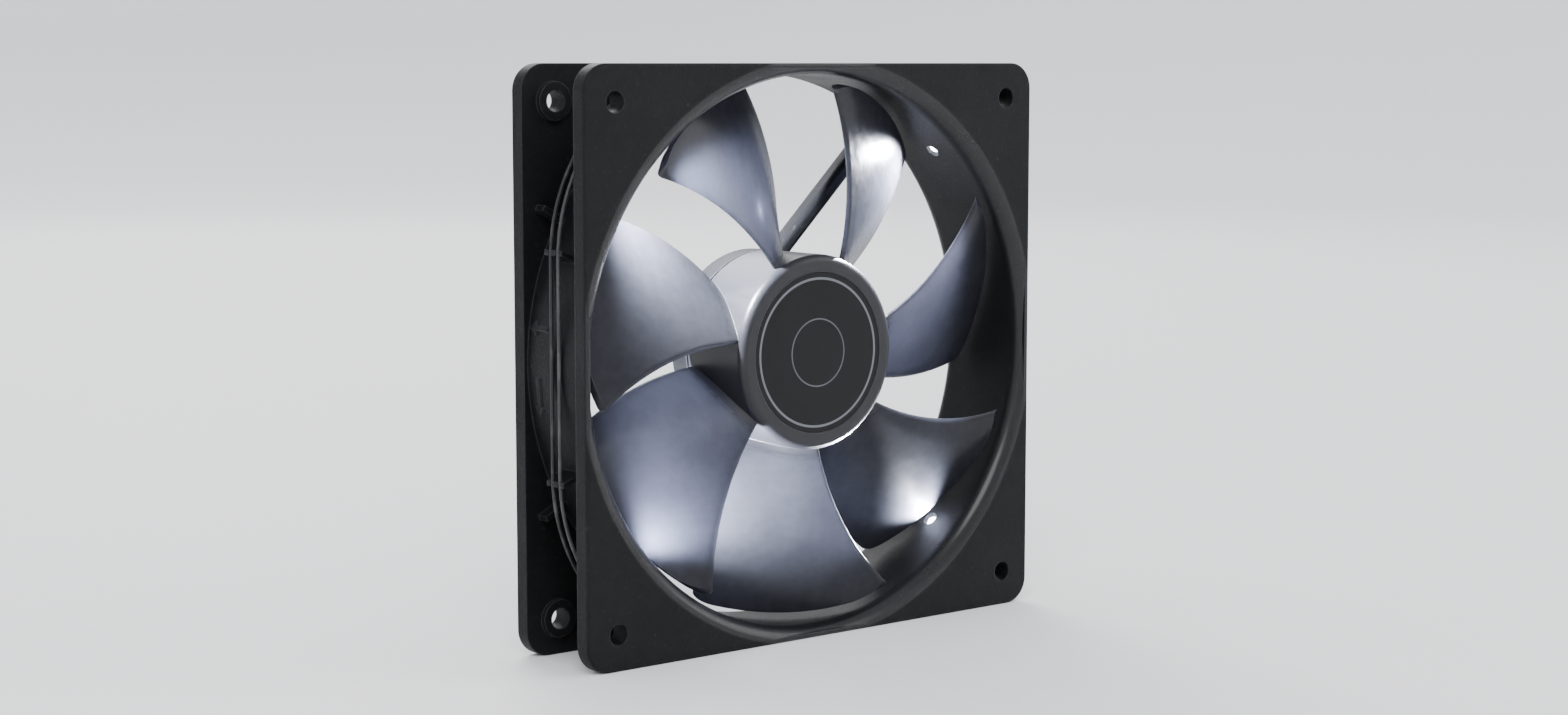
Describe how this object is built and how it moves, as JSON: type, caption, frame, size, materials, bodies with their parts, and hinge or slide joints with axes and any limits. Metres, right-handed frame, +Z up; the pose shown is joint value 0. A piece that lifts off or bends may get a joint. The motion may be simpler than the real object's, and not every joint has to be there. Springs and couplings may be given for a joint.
{
  "type": "case fan",
  "caption": "Square-framed axial computer case fan with a round duct, swept translucent blades on a central motor hub, rear struts and corner LEDs that light the blades.",
  "frame": {"origin": "centre of the frame, on the rotor's axis and halfway through its depth", "axes": "+Y along the rotor's axis, the way the air flows, towards the exhaust side with the struts; -Y is the intake side; +Z up, along a side of the frame; +X along the other side, to the right seen from the intake side"},
  "size_m": [0.12, 0.025, 0.12],
  "materials": {
    "frame_plastic": "black moulded plastic, finely textured",
    "smoke_plastic": "smoke-grey translucent moulded plastic",
    "led_lens": "water-clear epoxy, lit cool white",
    "steel": "ground steel",
    "yoke_steel": "zinc-plated deep-drawn steel",
    "brass": "turned brass",
    "bronze": "sintered oil-filled bronze",
    "magnet": "bonded ferrite",
    "lamination": "stacked electrical-steel sheets",
    "bobbin": "natural nylon",
    "copper": "enamelled copper wire",
    "board": "green solder mask on glass-fibre board",
    "component": "black moulded epoxy",
    "can": "drawn aluminium can",
    "solder": "tinned",
    "washer_plastic": "natural nylon",
    "seal_rubber": "black rubber",
    "wire_grey": "dark grey wire insulation",
    "wire_black": "black wire insulation",
    "label": "blank satin silver label",
    "hub_label": "blank satin black label"
  },
  "bodies": {
    "housing": {"frame": "frame_plastic", "bearing_tube": "brass", "sleeve_bearing": "bronze", "oil_seal": "seal_rubber", "thrust_pad": "washer_plastic", "end_plug": "seal_rubber", "stator_core": "lamination", "insulator_front": "bobbin", "insulator_rear": "bobbin", "winding_pins": "solder", "circuit_board": "board", "driver_chip": "component", "capacitor": "can", "diode": "component", "chip_resistors": "component", "solder_pads": "solder", "led_legs": "solder", "led_sleeves": "seal_rubber", "led_loom_positive": "wire_grey", "led_loom_negative": "wire_black", "led_feed_positive": "wire_grey", "led_feed_negative": "wire_black", "base_label": "label", "coil_1": "copper", "led_1": "led_lens", "coil_2": "copper", "led_2": "led_lens", "coil_3": "copper", "led_3": "led_lens", "coil_4": "copper", "led_4": "led_lens"},
    "rotor": {"impeller": "smoke_plastic", "rotor_yoke": "yoke_steel", "rotor_magnet": "magnet", "shaft_boss": "brass", "shaft": "steel", "front_washer": "washer_plastic", "rear_washer": "washer_plastic", "retaining_ring": "washer_plastic", "hub_label": "hub_label"}
  },
  "joints": [
    {"name": "rotor_spin", "type": "hinge", "parent": "housing", "child": "rotor", "pos_m": [0, 0, 0], "axis": [0, -1, 0], "continuous": true}
  ]
}
